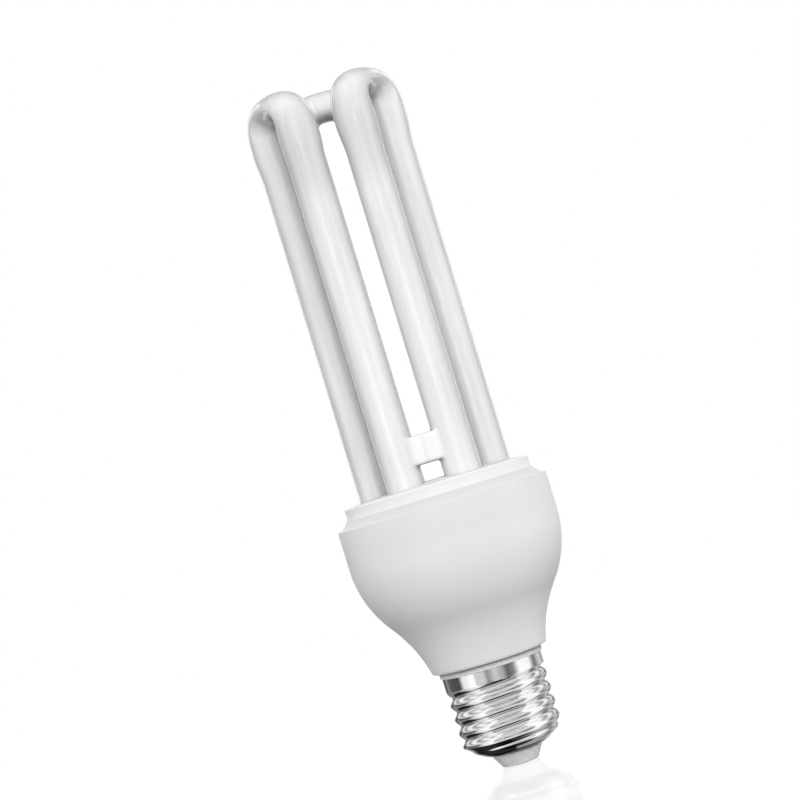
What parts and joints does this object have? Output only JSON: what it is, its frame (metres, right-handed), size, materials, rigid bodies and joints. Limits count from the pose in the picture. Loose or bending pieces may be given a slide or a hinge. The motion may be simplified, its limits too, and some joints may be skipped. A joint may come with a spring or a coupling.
{
  "type": "compact fluorescent bulb",
  "caption": "Compact fluorescent bulb: U-bent opal glass tubes on a rounded white ballast housing with a right-hand Edison screw base.",
  "frame": {"origin": "on the bulb's axis, at the lowest point of the centre contact", "axes": "+Z along the bulb from the screw base to the tops of the glass bends; -Y is the side with the front glass bridge that the picture shows"},
  "size_m": [0.055, 0.055, 0.1798],
  "materials": {
    "opal_glass": "opal, glossy",
    "white_housing": "satin moulded",
    "nickel": "nickel-plated sheet, bright",
    "grey_insulator": "smooth moulded",
    "tinned_metal": "tinned",
    "white_cement": "cast, dull",
    "board_laminate": "paper laminate",
    "ferrite": "sintered, dull",
    "black_moulding": "moulded",
    "enamelled_copper": "enamelled wire",
    "capacitor_sleeve": "shrink sleeve",
    "film_dip": "dipped",
    "resistor_coat": "cement coat",
    "diac_body": "painted glass",
    "chip_body": "chip",
    "wire_sleeve": "insulated"
  },
  "bodies": {
    "root": {"discharge_tube": "opal_glass", "upper_housing": "white_housing", "lower_housing": "white_housing", "screw_shell": "nickel", "base_insulator": "grey_insulator", "centre_contact": "tinned_metal", "tube_cement": "white_cement", "ballast_board": "board_laminate", "choke_core": "ferrite", "choke_bobbin": "black_moulding", "choke_winding": "enamelled_copper", "bulk_capacitor": "capacitor_sleeve", "drive_toroid": "ferrite", "toroid_windings": "enamelled_copper", "transistor_high": "black_moulding", "transistor_low": "black_moulding", "rectifier_diode_1": "black_moulding", "rectifier_diode_2": "black_moulding", "rectifier_diode_3": "black_moulding", "rectifier_diode_4": "black_moulding", "resonance_capacitor": "film_dip", "coupling_capacitor": "film_dip", "input_choke": "ferrite", "fuse_resistor": "resistor_coat", "start_diac": "diac_body", "board_resistors": "chip_body", "wrap_pins": "tinned_metal", "electrode_lead_1": "tinned_metal", "electrode_lead_2": "tinned_metal", "electrode_lead_3": "tinned_metal", "electrode_lead_4": "tinned_metal", "contact_lead": "wire_sleeve", "shell_lead": "wire_sleeve"}
  },
  "joints": []
}
